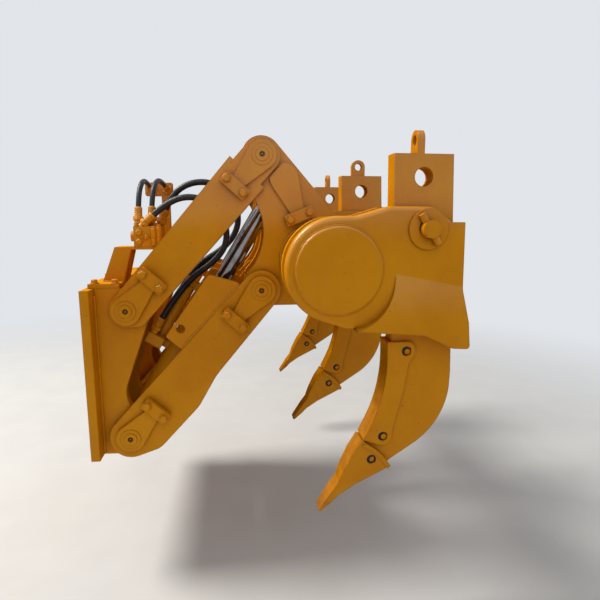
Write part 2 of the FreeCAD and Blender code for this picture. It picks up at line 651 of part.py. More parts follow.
def shank_outline():
    return path(SHANK_FRONT_TOP, SHANK_FRONT_LOW, (at_pin(-124, -628), at_pin(-190, -800)),
                at_pin(-202, -848), at_pin(-260, -968), at_pin(-232, -998), at_pin(-118, -930),
                at_pin(-104, -919), at_pin(0, -851), (at_pin(89, -757), at_pin(133, -620)),
                SHANK_REAR_LOW, SHANK_REAR_TOP)


def chamfered_corners(body, middle):
    """Takes the two upright corners off the front of the shank's head."""
    drop = V(SHANK_FRONT_LOW[0] - SHANK_FRONT_TOP[0], 0, SHANK_FRONT_LOW[1] - SHANK_FRONT_TOP[1])
    for side in (-1, 1):
        y = middle + side * SHANK_THICKNESS / 2
        corner = V(SHANK_FRONT_TOP[0], y, SHANK_TOP)
        back = V(SHANK_HEAD_CHAMFER, 0, 0)
        across = V(0, -side * SHANK_HEAD_CHAMFER, 0)
        wedge = Part.Face(Part.makePolygon([corner, corner + back, corner + across, corner])).extrude(drop)
        body = body.cut(wedge)
    return body


def shank(middle, lug_along_y):
    span = centred(middle, SHANK_THICKNESS)
    body = plate(shank_outline(), span)
    body = chamfered_corners(body, middle)
    lug_middle = (SHANK_FRONT_TOP[0] + SHANK_REAR_TOP[0]) / 2 - LUG_AHEAD
    top = SHANK_TOP + LUG_HEIGHT
    centre = top - LUG_HALF_WIDTH
    wire = belt((-LUG_HALF_WIDTH, SHANK_TOP - 1, 0), (LUG_HALF_WIDTH, SHANK_TOP - 1, 0),
                (0, centre, LUG_HALF_WIDTH))
    lug = plate(wire, centred(0, LUG_THICKNESS))
    lug = lug.cut(rod((0, centre), LUG_HOLE, centred(0, LUG_THICKNESS)))
    if not lug_along_y:
        lug.rotate(V(0, 0, 0), V(0, 0, 1), 90)
    lug.translate(V(lug_middle, middle, 0))
    body = body.fuse(lug).removeSplitter()
    hole = (SHANK_PIN[0] - 6, SHANK_PIN[1] + SHANK_HOLE_PITCH)
    holes = [rod(SHANK_PIN, SHANK_PIN_RADIUS, span), rod(hole, SHANK_HOLE_RADIUS, span)]
    for pin in WEAR_PINS:
        holes.append(rod(pin, WEAR_PIN_RADIUS, span))
    return body.cut(holes)


# Pins of the shin guard, above and below, and of the point
WEAR_PINS = (at_pin(-46, -472), at_pin(-131, -818), at_pin(-175, -913))


def wear_sockets(solid, pins, span):
    """Bores through both cheeks, with a wider socket off their centre where the pins lie sunk."""
    cuts = []
    for pin in pins:
        socket = moved(pin, WEAR_SOCKET_SHIFT)
        cuts.append(rod(pin, WEAR_PIN_RADIUS, span))
        cuts.append(rod(socket, WEAR_SOCKET_RADIUS, (span[0], span[0] + WEAR_WALL - 2)))
        cuts.append(rod(socket, WEAR_SOCKET_RADIUS, (span[1] - WEAR_WALL + 2, span[1])))
    return solid.cut(cuts)


# The round hollow of the shin guard's front edge
SHIN_CURVE = at_pin(-750, -503, -623)


def shin_guard(middle):
    """The wear plate that wraps the shank's front edge."""
    width = SHANK_THICKNESS + 2 * WEAR_WALL
    span = centred(middle, width)
    upper = lobe(moved(WEAR_PINS[0], WEAR_SOCKET_SHIFT), WEAR_LOBE)
    lower = lobe(moved(WEAR_PINS[1], WEAR_SOCKET_SHIFT), WEAR_LOBE)
    outline = belt(at_pin(-215, -826, 0), lower, at_pin(-81, -786, -16), at_pin(-657, -515, 610),
                   at_pin(-25, -530, -18), upper, at_pin(-129, -431, 0), SHIN_CURVE)
    body = plate(outline, span)
    solid = body.cut(plate(shank_outline(), centred(middle, SHANK_THICKNESS)))
    return wear_sockets(solid, WEAR_PINS[:2], span)


def ripper_point(middle):
    """The replaceable point: a wedge with a socket for the shank's nose and a rim round its mouth."""
    width = SHANK_THICKNESS + 2 * WEAR_WALL
    span = centred(middle, width)
    mouth = (at_pin(-103, -941), at_pin(-154, -876), at_pin(-210, -838))
    outline = path(at_pin(-222, -833), at_pin(-260, -893), at_pin(-290, -955), at_pin(-309, -1008),
                   at_pin(-337, -1044), at_pin(-380, -1108), at_pin(-390, -1126), at_pin(-382, -1130),
                   at_pin(-334, -1086), at_pin(-312, -1062), at_pin(-243, -1014),
                   mouth[0], (mouth[1], mouth[2]))
    inner = [moved(place, (-12, -13)) for place in mouth]
    rim = path(mouth[0], (mouth[1], mouth[2]), inner[2], (inner[1], inner[0]))
    body = plate(outline, span)
    heel = at_pin(-160, -888)
    end = at_pin(-388, -1124)
    length = math.hypot(end[0] - heel[0], end[1] - heel[1])
    half = width / 2
    shoulder = 60
    tip = length + 20
    corners = [V(-shoulder, -half, 0), V(shoulder, -half, 0), V(length, -POINT_END_HALF_WIDTH, 0),
               V(tip, -POINT_END_HALF_WIDTH, 0), V(tip, POINT_END_HALF_WIDTH, 0),
               V(length, POINT_END_HALF_WIDTH, 0), V(shoulder, half, 0), V(-shoulder, half, 0)]
    taper = Part.Face(Part.makePolygon(corners + corners[:1])).extrude(V(0, 0, 2 * length))
    taper.translate(V(0, middle, -length))
    body = body.common(laid(taper, heel, end))
    body = joined(body, plate(rim, centred(middle, width + 2 * POINT_RIM)))
    body = body.cut(plate(shank_outline(), centred(middle, SHANK_THICKNESS)))
    return wear_sockets(body, WEAR_PINS[2:], centred(middle, width + 2 * POINT_RIM))


def wear_pins(middle):
    span = centred(middle, SHANK_THICKNESS + 2 * WEAR_WALL - 12)
    return Part.makeCompound([rod(pin, WEAR_PIN_RADIUS, span) for pin in WEAR_PINS])


def shank_pin(middle):
    """The pin that holds the shank at its height, with a cross bar through each end."""
    face = SHANK_THICKNESS / 2 + POCKET_GAP + POCKET_PLATE + POCKET_BOSS_PROUD
    solid = rod(SHANK_PIN, SHANK_PIN_RADIUS, centred(middle, 2 * (face + SHANK_PIN_PROUD)))
    lean = V(0.54, 0, -0.84)
    for side in (-1, 1):
        centre = V(SHANK_PIN[0], middle + side * (face + CROSS_BAR_RADIUS + 1), SHANK_PIN[1])
        bar = Part.makeCylinder(CROSS_BAR_RADIUS, 2 * CROSS_BAR_HALF_LENGTH,
                                centre - lean * CROSS_BAR_HALF_LENGTH, lean)
        solid = joined(solid, bar)
    return solid


# Valve stand with the hose post, oil manifold and hoses on the bracket's left
def valve_stand():
    foot = BRACKET_HALF_HEIGHT + STAND_FOOT
    top = BRACKET_HALF_HEIGHT + STAND_RISE
    shelf_low = top - STAND_PLATE
    near = (STAND_SPAN[0], STAND_SPAN[0] + STAND_PLATE)
    rest = (near[1], STAND_SPAN[1])
    base = block((16, 154), (-OUTER_EAR[1], -INNER_EAR[1]), (BRACKET_HALF_HEIGHT, foot))
    web = plate(path((58, foot), (154, foot), (154 + STAND_LEAN, top), (STAND_FRONT, top)), near)
    fold = plate(path((154 - STAND_PLATE, foot), (154, foot), (154 + STAND_LEAN, top),
                      (154 + STAND_LEAN - STAND_PLATE, top)), rest)
    shelf = block((STAND_FRONT, STAND_REAR), STAND_SPAN, (shelf_low, top))
    post_x = centred(STAND_REAR - POST_WIDTH / 2, POST_WIDTH)
    arm = block(post_x, (STAND_SPAN[1], STAND_PLATE), (shelf_low, top))
    post = block(post_x, (0, STAND_PLATE), (shelf_low, top + POST_RISE))
    head = block(POST_HEAD, (0, STAND_PLATE), (top + POST_RISE - POST_HEAD_DEPTH, top + POST_RISE))
    head = head.makeFillet(STAND_PLATE, [e for e in head.Edges if abs(e.tangentAt(0).y) > 0.9])
    solid = joined(base, web, fold, shelf, arm, post, head)
    for route in (SUPPLY_HOSE_FRONT, SUPPLY_HOSE_REAR):
        foot_of_port = V(route[-1][0], 0, route[-1][2] - 15)
        port = Part.makeCylinder(PORT_RADIUS, 3 * STAND_PLATE, foot_of_port, V(0, 1, 0))
        solid = joined(solid, port, ferrule(route[-1], route[-2]))
    return solid


def ferrule(end, before):
    """The sleeve on a hose's end, lying in line with its last run, beyond the hose."""
    way = V(*end) - V(*before)
    way.normalize()
    return Part.makeCylinder(FERRULE_RADIUS, FERRULE_LENGTH, V(*end), way)


def manifold():
    top = BRACKET_HALF_HEIGHT + STAND_RISE + MANIFOLD_HEIGHT
    start = STAND_REAR - MANIFOLD_LENGTH
    body = block((start, STAND_REAR), STAND_SPAN, (top - MANIFOLD_HEIGHT, top))
    plug = Part.makeCylinder(24, 22, V(start - 22, -300, top - 48), V(1, 0, 0))
    routes = (LIFT_HOSE_OUTER, LIFT_HOSE_INNER, SUPPLY_HOSE_FRONT, SUPPLY_HOSE_REAR)
    sleeves = [ferrule(route[0], route[1]) for route in routes]
    ports = [Part.makeCylinder(PORT_RADIUS, 16, V(route[0][0], route[0][1], top), V(0, 0, 1))
             for route in (SUPPLY_HOSE_FRONT, SUPPLY_HOSE_REAR)]
    return joined(body, plug, *sleeves, *ports)


def hose(name, corners, diameter):
    """A hose on straight runs, with an arc tangent to both runs at each corner."""
    places = [V(*corner) for corner in corners]
    edges = []
    radii = []
    here = places[0]
    for before, corner, after in zip(places, places[1:], places[2:]):
        come = corner - before
        go = after - corner
        half_turn = come.getAngle(go) / 2
        reach = BEND * min(come.Length, go.Length)
        radius = reach / math.tan(half_turn)
        come.normalize()
        go.normalize()
        inward = go - come
        inward.normalize()
        arc_start = corner - come * reach
        arc_end = corner + go * reach
        arc_middle = corner + inward * (radius / math.cos(half_turn) - radius)
        edges.append(Part.LineSegment(here, arc_start).toShape())
        edges.append(Part.Arc(arc_start, arc_middle, arc_end).toShape())
        radii.append(round(radius))
        here = arc_end
    edges.append(Part.LineSegment(here, places[-1]).toShape())
    print(name, "length", round(sum(edge.Length for edge in edges)), "arc radii", radii)
    spine = Part.Wire(edges)
    section = Part.Wire(Part.makeCircle(diameter / 2, places[0], places[1] - places[0]))
    return spine.makePipeShell([section], True, False)


def build():
    parts = {
        "bracket_plate": bracket_plate(),
        "lower_arm_middle": arm_middle(),
        "tool_beam_tube": beam_tube(),
        "valve_stand": valve_stand(),
        "oil_manifold": manifold(),
        "hose_lift_outer": hose("hose_lift_outer", LIFT_HOSE_OUTER, LIFT_HOSE),
        "hose_lift_inner": hose("hose_lift_inner", LIFT_HOSE_INNER, LIFT_HOSE),
        "hose_supply_front": hose("hose_supply_front", SUPPLY_HOSE_FRONT, SUPPLY_HOSE),
        "hose_supply_rear": hose("hose_supply_rear", SUPPLY_HOSE_REAR, SUPPLY_HOSE),
    }
    pairs = {
        "bracket_ears": bracket_ears(),
        "upper_link": upper_link(),
        "upper_link_pins": upper_link_pins(),
        "lower_arm_outer_side": arm_side(ARM_OUTER, (ARM_OUTER[0], ARM_OUTER[1] - ARM_GUARD_RECESS)),
        "lower_arm_inner_side": arm_side(ARM_INNER, (ARM_INNER[0] + ARM_GUARD_RECESS, ARM_INNER[1])),
        "lower_arm_pins": lower_arm_pins(),
        "cylinder": cylinder_with_line(),
        "piston_rod": piston_rod(),
        "tool_beam_ears": beam_ears(),
    }
    for name, shape in pairs.items():
        parts[name + "_right"] = shape
        parts[name + "_left"] = mirrored(shape)
    for name, row in (("left", -1), ("middle", 0), ("right", 1)):
        middle = row * SHANK_SPACING
        parts["shank_pocket_" + name] = pocket(row)
        parts["shank_" + name] = shank(middle, row == 0)
        parts["shin_guard_" + name] = shin_guard(middle)
        parts["ripper_point_" + name] = ripper_point(middle)
        parts["wear_pins_" + name] = wear_pins(middle)
        parts["shank_pin_" + name] = shank_pin(middle)
    return parts


os.makedirs("parts", exist_ok=True)
for name, shape in build().items():
    shape.exportStep("parts/" + name + ".step")
    print(name, "valid", shape.isValid(), "solids", len(shape.Solids), "litres", round(shape.Volume / 1e6, 2))
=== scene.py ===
"""Looks of the three-shank ripper: hoses, fittings, welds, paint, floor, light and camera, in metres."""
import math
import random

import bmesh
import bpy
from mathutils import Matrix, Vector


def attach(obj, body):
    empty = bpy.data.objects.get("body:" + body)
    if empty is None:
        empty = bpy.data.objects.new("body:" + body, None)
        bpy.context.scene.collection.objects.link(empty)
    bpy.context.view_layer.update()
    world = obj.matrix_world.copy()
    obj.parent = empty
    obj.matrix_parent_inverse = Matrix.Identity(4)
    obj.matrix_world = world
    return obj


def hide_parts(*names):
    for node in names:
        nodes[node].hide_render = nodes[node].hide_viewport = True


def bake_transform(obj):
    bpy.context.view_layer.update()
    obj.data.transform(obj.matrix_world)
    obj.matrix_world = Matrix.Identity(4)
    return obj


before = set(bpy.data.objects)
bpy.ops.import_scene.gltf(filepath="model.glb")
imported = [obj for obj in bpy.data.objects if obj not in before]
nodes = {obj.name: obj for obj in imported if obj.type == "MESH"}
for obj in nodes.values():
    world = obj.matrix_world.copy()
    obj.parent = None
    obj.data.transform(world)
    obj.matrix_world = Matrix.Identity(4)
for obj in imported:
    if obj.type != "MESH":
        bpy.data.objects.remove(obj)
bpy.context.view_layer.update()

# Places in the side view (x, z), and the floor's height
LINK = 0.924
LINK_ANGLE = math.radians(48.1)
ALONG = (math.cos(LINK_ANGLE), math.sin(LINK_ANGLE))
LOWER_FRONT_PIN = (0.175, -0.306)
UPPER_FRONT_PIN = (0.185, 0.298)
LOWER_REAR_PIN = (LOWER_FRONT_PIN[0] + LINK * ALONG[0], LOWER_FRONT_PIN[1] + LINK * ALONG[1])
UPPER_REAR_PIN = (UPPER_FRONT_PIN[0] + LINK * ALONG[0], UPPER_FRONT_PIN[1] + LINK * ALONG[1])
ROD_PIN = (LOWER_REAR_PIN[0] + 0.110, LOWER_REAR_PIN[1] + 0.507)
TUBE = (LOWER_REAR_PIN[0] + 0.259, LOWER_REAR_PIN[1] + 0.137)
SHANK_PIN = (LOWER_REAR_PIN[0] + 0.588, LOWER_REAR_PIN[1] + 0.286)
FLOOR = -0.960

# Places and sizes of the CAD pieces that the details sit on
SHANK_SPACING = 0.915
ROWS = (-SHANK_SPACING, 0.0, SHANK_SPACING)
SIDES = (("left", -1), ("right", 1))
WEAR_PINS = ((-0.046, -0.472), (-0.131, -0.818), (-0.175, -0.913))
WEAR_SOCKET_SHIFT = (-0.006, 0.004)
WEAR_SOCKET_RADIUS = 0.019
WEAR_SOCKET_FLOORS = (0.0395, 0.0395, 0.0425)
BOSS_FACE = 0.094
SHANK_PIN_EDGE = 0.0331
DECK_TOP = 0.416
STAND_BOLTS = ((0.040, 0.130), (-0.440, -0.200))
STAND_FOOT = (0.062, 0.150, 0.4175)
STAND_WALLS = (-0.3635, -0.3485)
MANIFOLD_NEAR_FACE = -0.362
MANIFOLD_FAR_FACE = -0.238
MANIFOLD_TOP = 0.672
MANIFOLD_SCREWS = ((0.218, 0.322), (-0.351, -0.249))
TUBE_RADIUS = 0.163
EAR_FACES = (0.177, 0.222, 0.420, 0.465)
EAR_ROOT = 0.042
EAR_ROOT_SPAN = (-0.386, 0.364)
POCKET_FACES = (0.085, 0.830)
BEAM_HALF_WIDTH = 1.000
CYLINDER_LANE = 0.308
GLAND_END = 0.785
GUARD_FACE = 0.4925
GUARD_SEAM = ((0.476, 0.098), (0.872, 0.0915))
FLAG_KEEPER_FACE = 0.542
ROD_KEEPER_FACE = 0.507
KEEPER_REACH = 0.183
KEEPER_BOLT = 0.047
GREASE_RECESS = 0.510

# Camera
CAMERA_PLACE = (0.689, -2.6987, 0.700)
CAMERA_RIGHT = (0.99185, -0.12742, 0.0)
CAMERA_UP = (0.02090, 0.16266, 0.98646)
CAMERA_BACK = (-0.12569, -0.97842, 0.16400)
CAMERA_LENS = 28.8

# Hoses: route corners, diameter and real length
LIFT_HOSE = 0.030
SUPPLY_HOSE = 0.025
HOSES = {
    "hose_lift_outer": (LIFT_HOSE, 1.052, [
        (0.275, -0.340, 0.703), (0.361, -0.341, 0.786), (0.483, -0.344, 0.817), (0.595, -0.350, 0.762),
        (0.646, -0.355, 0.648), (0.611, -0.358, 0.528), (0.417, -0.358, 0.397), (0.3024, -0.358, 0.2075)]),
    "hose_lift_inner": (LIFT_HOSE, 1.196, [
        (0.331, -0.258, 0.721), (0.372, -0.258, 0.823), (0.474, -0.258, 0.887), (0.594, -0.258, 0.878),
        (0.684, -0.258, 0.791), (0.697, -0.258, 0.667), (0.627, -0.258, 0.564), (0.461, -0.258, 0.468),
        (0.3024, -0.258, 0.2075)]),
    "hose_supply_front": (SUPPLY_HOSE, 0.360, [
        (0.222, -0.300, 0.730), (0.224, -0.284, 0.819), (0.229, -0.219, 0.884), (0.234, -0.125, 0.897),
        (0.238, -0.041, 0.866)]),
    "hose_supply_rear": (SUPPLY_HOSE, 0.362, [
        (0.284, -0.300, 0.733), (0.287, -0.284, 0.822), (0.296, -0.219, 0.887), (0.308, -0.125, 0.900),
        (0.320, -0.041, 0.869)]),
}


def make_camera():
    data = bpy.data.cameras.new("camera")
    data.sensor_width = 36.0
    data.lens = CAMERA_LENS
    camera = bpy.data.objects.new("camera", data)
    bpy.context.scene.collection.objects.link(camera)
    matrix = Matrix((CAMERA_RIGHT, CAMERA_UP, CAMERA_BACK)).transposed().to_4x4()
    matrix.translation = CAMERA_PLACE
    camera.matrix_world = matrix
    bpy.context.scene.camera = camera


# Meshes
def mesh_object(name, mesh, smooth=True):
    for polygon in mesh.polygons:
        polygon.use_smooth = smooth
    piece = bpy.data.objects.new(name, mesh)
    bpy.context.scene.collection.objects.link(piece)
    return piece


def circle(centre, side, up, radius, count, shift=0.0):
    """Evenly spaced points round a centre, in the plane of side and up."""
    points = []
    for k in range(count):
        turn = 2 * math.pi * (k + shift) / count
        points.append(centre + (side * math.cos(turn) + up * math.sin(turn)) * radius)
    return points


def skinned(bm, rings):
    """Joins each ring of points to the next one with faces, and closes both ends."""
    count = len(rings[0])
    for low, high in zip(rings, rings[1:]):
        for k in range(count):
            beside = (k + 1) % count
            bm.faces.new((low[k], low[beside], high[beside], high[k]))
    bm.faces.new(rings[0][::-1])
    bm.faces.new(rings[-1])


def swept(bm, points, radii, sides, closed=False):
    """Adds a round tube along the points, with U round it and V along it in metres."""
    uv = bm.loops.layers.uv.verify()
    count = len(points)
    tangent = (points[1] - points[0]).normalized()
    side = tangent.orthogonal().normalized()
    rings = []
    lengths = [0.0]
    for i in range(count):
        before = points[i - 1] if i or closed else points[0]
        after = points[(i + 1) % count] if i + 1 < count or closed else points[-1]
        way = (after - before).normalized()
        side = (side - way * side.dot(way)).normalized()
        up = way.cross(side)
        rings.append([bm.verts.new(place) for place in circle(points[i], side, up, radii[i], sides)])
        if i:
            lengths.append(lengths[-1] + (points[i] - points[i - 1]).length)
    spans = [(i, i + 1) for i in range(count - 1)]
    if closed:
        spans.append((count - 1, 0))
        lengths.append(lengths[-1] + (points[0] - points[-1]).length)
    for i, j in spans:
        for k in range(sides):
            beside = (k + 1) % sides
            face = bm.faces.new((rings[i][k], rings[i][beside], rings[j][beside], rings[j][k]))
            marks = ((k, i), (k + 1, i), (k + 1, i + 1), (k, i + 1))
            for loop, (u, v) in zip(face.loops, marks):
                loop[uv].uv = (u / sides, lengths[v])
    if not closed:
        bm.faces.new(rings[0][::-1])
        bm.faces.new(rings[-1])


def finished(bm, name, smooth=True):
    bmesh.ops.recalc_face_normals(bm, faces=bm.faces)
    mesh = bpy.data.meshes.new(name)
    bm.to_mesh(mesh)
    bm.free()
    return mesh_object(name, mesh, smooth)


def turned(bm, profile, place, axis, segments=28):
    """Adds a closed turned form: (along, radius) pairs revolved about an axis through place."""
    axis = Vector(axis).normalized()
    side = axis.orthogonal().normalized()
    up = axis.cross(side)
    rings = []
    for along, radius in profile:
        middle = Vector(place) + axis * along
        rings.append([bm.verts.new(point) for point in circle(middle, side, up, radius, segments)])
    skinned(bm, rings)


def hexagon(bm, place, axis, across, height, twist):
    """Adds a hexagonal head with its chamfered top, across wide from flat to flat."""
    axis = Vector(axis).normalized()
    side = (Matrix.Rotation(twist, 3, axis) @ axis.orthogonal()).normalized()
    up = axis.cross(side)
    radius = across / math.sqrt(3)
    rings = []
    for along, share in ((0.0, 1.0), (height * 0.82, 1.0), (height, 0.86)):
        middle = Vector(place) + axis * along
        rings.append([bm.verts.new(point) for point in circle(middle, side, up, radius * share, 6)])
    skinned(bm, rings)


# Hoses: how finely the line and the tube are drawn, and the sleeve's ridges
LINE_STEPS = 16
HOSE_SIDES = 24
RIDGES = 4
RIDGE_PITCH = 0.009


def route_line(name, points):
    """The points of the smooth line that the route's corners control."""
    curve = bpy.data.curves.new(name, "CURVE")
    curve.dimensions = "3D"
    curve.resolution_u = LINE_STEPS
    spline = curve.splines.new("NURBS")
    spline.points.add(len(points) - 1)
    for target, point in zip(spline.points, points):
        target.co = (*point, 1.0)
    spline.order_u = 3
    spline.use_endpoint_u = True
    holder = bpy.data.objects.new(name, curve)
    bpy.context.scene.collection.objects.link(holder)
    bpy.context.view_layer.update()
    line = bpy.data.meshes.new_from_object(holder)
    places = [vertex.co.copy() for vertex in line.vertices]
    bpy.data.objects.remove(holder)
    bpy.data.curves.remove(curve)
    bpy.data.meshes.remove(line)
    return places


def make_hoses(rubber):
    for name, (diameter, length, points) in HOSES.items():
        line = route_line(name + "_line", points)
        bm = bmesh.new()
        swept(bm, line, [diameter / 2] * len(line), HOSE_SIDES)
        piece = finished(bm, name + "_cover")
        piece.data.materials.append(rubber)
        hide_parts(name)
        if name.startswith("hose_lift"):
            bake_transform(piece)
        else:
            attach(piece, "bracket")


def make_crimps(paint):
    """The swaged sleeves with their ridges and hexagons at both ends of each hose."""
    on_bracket = bmesh.new()
    on_cylinder = bmesh.new()
    for name, (diameter, _, points) in HOSES.items():
        for tip, inner in ((0, 1), (-1, -2)):
            end = Vector(points[tip])
            way = (end - Vector(points[inner])).normalized()
            bore = diameter / 2
            profile = [(-0.032, bore + 0.0015), (-0.030, bore + 0.0045)]
            for k in range(RIDGES):
                start = -0.026 + k * RIDGE_PITCH
                profile += [(start, bore + 0.0055), (start + 0.004, bore + 0.0055),
                            (start + 0.005, bore + 0.0040), (start + 0.008, bore + 0.0040)]
            profile += [(0.012, bore + 0.0055), (0.014, bore + 0.0030)]
            moves = name.startswith("hose_lift") and tip == -1
            target = on_cylinder if moves else on_bracket
            turned(target, profile, end, way)
            hexagon(target, end + way * 0.014, way, 0.044, 0.020, 0.3)
    for bm, name, body in ((on_bracket, "hose_sleeves_bracket", "bracket"),
                           (on_cylinder, "hose_sleeves_cylinder", "cylinder_left")):
        piece = finished(bm, name, smooth=False)
        piece.data.materials.append(paint)
        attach(piece, body)


# Bolts, screws, nipples, retainers and seals, with turned forms as (along, radius) pairs
NIPPLE = [(0.0, 0.0055), (0.004, 0.0055), (0.0045, 0.0035), (0.009, 0.0030), (0.0095, 0.0038),
          (0.0115, 0.0034), (0.0122, 0.0020)]
MANIFOLD_SCREW = [(-0.001, 0.0085), (0.009, 0.0085), (0.0095, 0.0078), (0.0095, 0.0042), (0.004, 0.0040)]
GLAND_SCREW = [(-0.001, 0.0075), (0.0065, 0.0075), (0.0070, 0.0068), (0.0070, 0.0040), (0.0030, 0.0038)]
WASHER_TOP = 0.0045
GLAND_SCREWS = 8
GLAND_SCREW_CIRCLE = 0.0645
WIPER_CIRCLE = 0.0465
WIPER_RADIUS = 0.006
WIPER_STEPS = 48


def side_point(start, end, along, across, y):
    """A point by its place along and across the line from start to end, in the plane at y."""
    dx, dz = end[0] - start[0], end[1] - start[1]
    length = math.hypot(dx, dz)
    ux, uz = dx / length, dz / length
    return Vector((start[0] + ux * along - uz * across, y, start[1] + uz * along + ux * across))


def bolt(bm, place, axis, across=0.030, height=0.016, twist=0.0):
    """Adds a hexagonal head on its washer."""
    washer = [(-0.001, across * 0.70), (0.0035, across * 0.70), (WASHER_TOP, across * 0.64)]
    turned(bm, washer, place, axis)
    hexagon(bm, Vector(place) + Vector(axis) * WASHER_TOP, axis, across, height, twist)


def make_keeper_bolts(paint):
    """The two bolts in each keeper bar across a pin's flag."""
    keepers = [
        ("upper_link", UPPER_FRONT_PIN, UPPER_REAR_PIN, FLAG_KEEPER_FACE),
        ("upper_link", UPPER_REAR_PIN, UPPER_FRONT_PIN, FLAG_KEEPER_FACE),
        ("lower_arm", LOWER_FRONT_PIN, LOWER_REAR_PIN, FLAG_KEEPER_FACE),
        ("lower_arm", LOWER_REAR_PIN, LOWER_FRONT_PIN, FLAG_KEEPER_FACE),
        ("tool_beam", ROD_PIN, TUBE, ROD_KEEPER_FACE),
    ]
    turns = random.Random(5)
    groups = {}
    for body, pin, aim, face in keepers:
        for side_name, side in SIDES:
            owner = body + "_" + side_name if body == "upper_link" else body
            bm = groups.setdefault(owner, bmesh.new())
            for across in (-KEEPER_BOLT, KEEPER_BOLT):
                place = side_point(pin, aim, KEEPER_REACH, across, side * face)
                bolt(bm, place, (0, side, 0), twist=turns.uniform(0, 1))
    for owner, bm in groups.items():
        piece = finished(bm, "keeper_bolts_" + owner, smooth=False)
        piece.data.materials.append(paint)
        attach(piece, owner)


def make_grease_nipples(steel):
    """The nipple in the recess of each flagged pin."""
    pins = [("upper_link", UPPER_FRONT_PIN), ("upper_link", UPPER_REAR_PIN),
            ("lower_arm", LOWER_FRONT_PIN), ("lower_arm", LOWER_REAR_PIN)]
    groups = {}
    for body, pin in pins:
        for side_name, side in SIDES:
            owner = body + "_" + side_name if body == "upper_link" else body
            bm = groups.setdefault(owner, bmesh.new())
            place = (pin[0], side * GREASE_RECESS, pin[1])
            turned(bm, NIPPLE, place, (0, side, 0), 20)
    for owner, bm in groups.items():
        piece = finished(bm, "grease_nipples_" + owner)
        piece.data.materials.append(steel)
        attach(piece, owner)


def make_stand_bolts(paint):
    """The bolts of the valve stand's foot and of the manifold's top."""
    bm = bmesh.new()
    for k, y in enumerate(STAND_BOLTS[1]):
        for x in STAND_BOLTS[0]:
            bolt(bm, (x, y, DECK_TOP), (0, 0, 1), 0.027, 0.015, 0.4 * k + x)
    for x in MANIFOLD_SCREWS[0]:
        for y in MANIFOLD_SCREWS[1]:
            turned(bm, MANIFOLD_SCREW, (x, y, MANIFOLD_TOP), (0, 0, 1), 20)
    piece = finished(bm, "stand_and_manifold_bolts", smooth=False)
    piece.data.materials.append(paint)
    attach(piece, "bracket")


def make_pin_retainers_and_socket_shade(rubber):
    """The dark rubber retaining disc round each wear pin at the bottom of its socket, which also serves as
    painted shade darkening the socket.
    """
    rim = WEAR_SOCKET_RADIUS - 0.0003
    disc = [(-0.0005, rim), (0.0012, rim), (0.0020, rim - 0.0008), (0.0020, 0.0128), (0.0008, 0.0122)]
    bm = bmesh.new()
    for row in ROWS:
        for (dx, dz), floor in zip(WEAR_PINS, WEAR_SOCKET_FLOORS):
            for side in (-1, 1):
                place = (SHANK_PIN[0] + dx + WEAR_SOCKET_SHIFT[0], row + side * floor,
                         SHANK_PIN[1] + dz + WEAR_SOCKET_SHIFT[1])
                turned(bm, disc, place, (0, side, 0), 32)
    piece = finished(bm, "pin_retainers_and_socket_shade", smooth=False)
    piece.data.materials.append(rubber)
    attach(piece, "tool_beam")


# The painted shade in the gap at a shank pin: steps, start and reach in degrees, width at the tips and what
# the middle adds
GAP_SHADE_STEPS = 28
GAP_SHADE_START = 105
GAP_SHADE_REACH = 110
GAP_SHADE_TIP = 0.0004
GAP_SHADE_GROWTH = 0.0052


def make_pin_gap_shade(gap_shade):
    """A dark crescent at the front of each shank pin: painted shade for the gap where its hole is worn."""
    bm = bmesh.new()
    for row in ROWS:
        for side in (-1, 1):
            rings = []
            for k in range(GAP_SHADE_STEPS + 1):
                turn = math.radians(GAP_SHADE_START + GAP_SHADE_REACH * k / GAP_SHADE_STEPS)
                width = GAP_SHADE_TIP + GAP_SHADE_GROWTH * math.sin(math.pi * k / GAP_SHADE_STEPS)
                outer = SHANK_PIN_EDGE + width
                ring = []
                for radius, out in ((SHANK_PIN_EDGE, -0.0003), (outer, -0.0003),
                                    (outer, 0.0006), (SHANK_PIN_EDGE, 0.0010)):
                    ring.append(bm.verts.new((SHANK_PIN[0] + radius * math.cos(turn),
                                              row + side * (BOSS_FACE + out),
                                              SHANK_PIN[1] + radius * math.sin(turn))))
                rings.append(ring)
            skinned(bm, rings)
    piece = finished(bm, "pin_gap_shade", smooth=False)
    piece.data.materials.append(gap_shade)
    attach(piece, "tool_beam")


# On the manifold: cartridges by x, low, high and radius, plugs by x, z and width, and the far bolts by x
CARTRIDGES = ((0.296, 0.581, 0.664, 0.0135), (0.320, 0.588, 0.668, 0.0105))
PLUGS = ((0.232, 0.600, 0.024), (0.232, 0.644, 0.024), (0.264, 0.622, 0.019))
FAR_BOLTS = (0.230, 0.262, 0.300)
FAR_BOLT_HEIGHT = 0.624


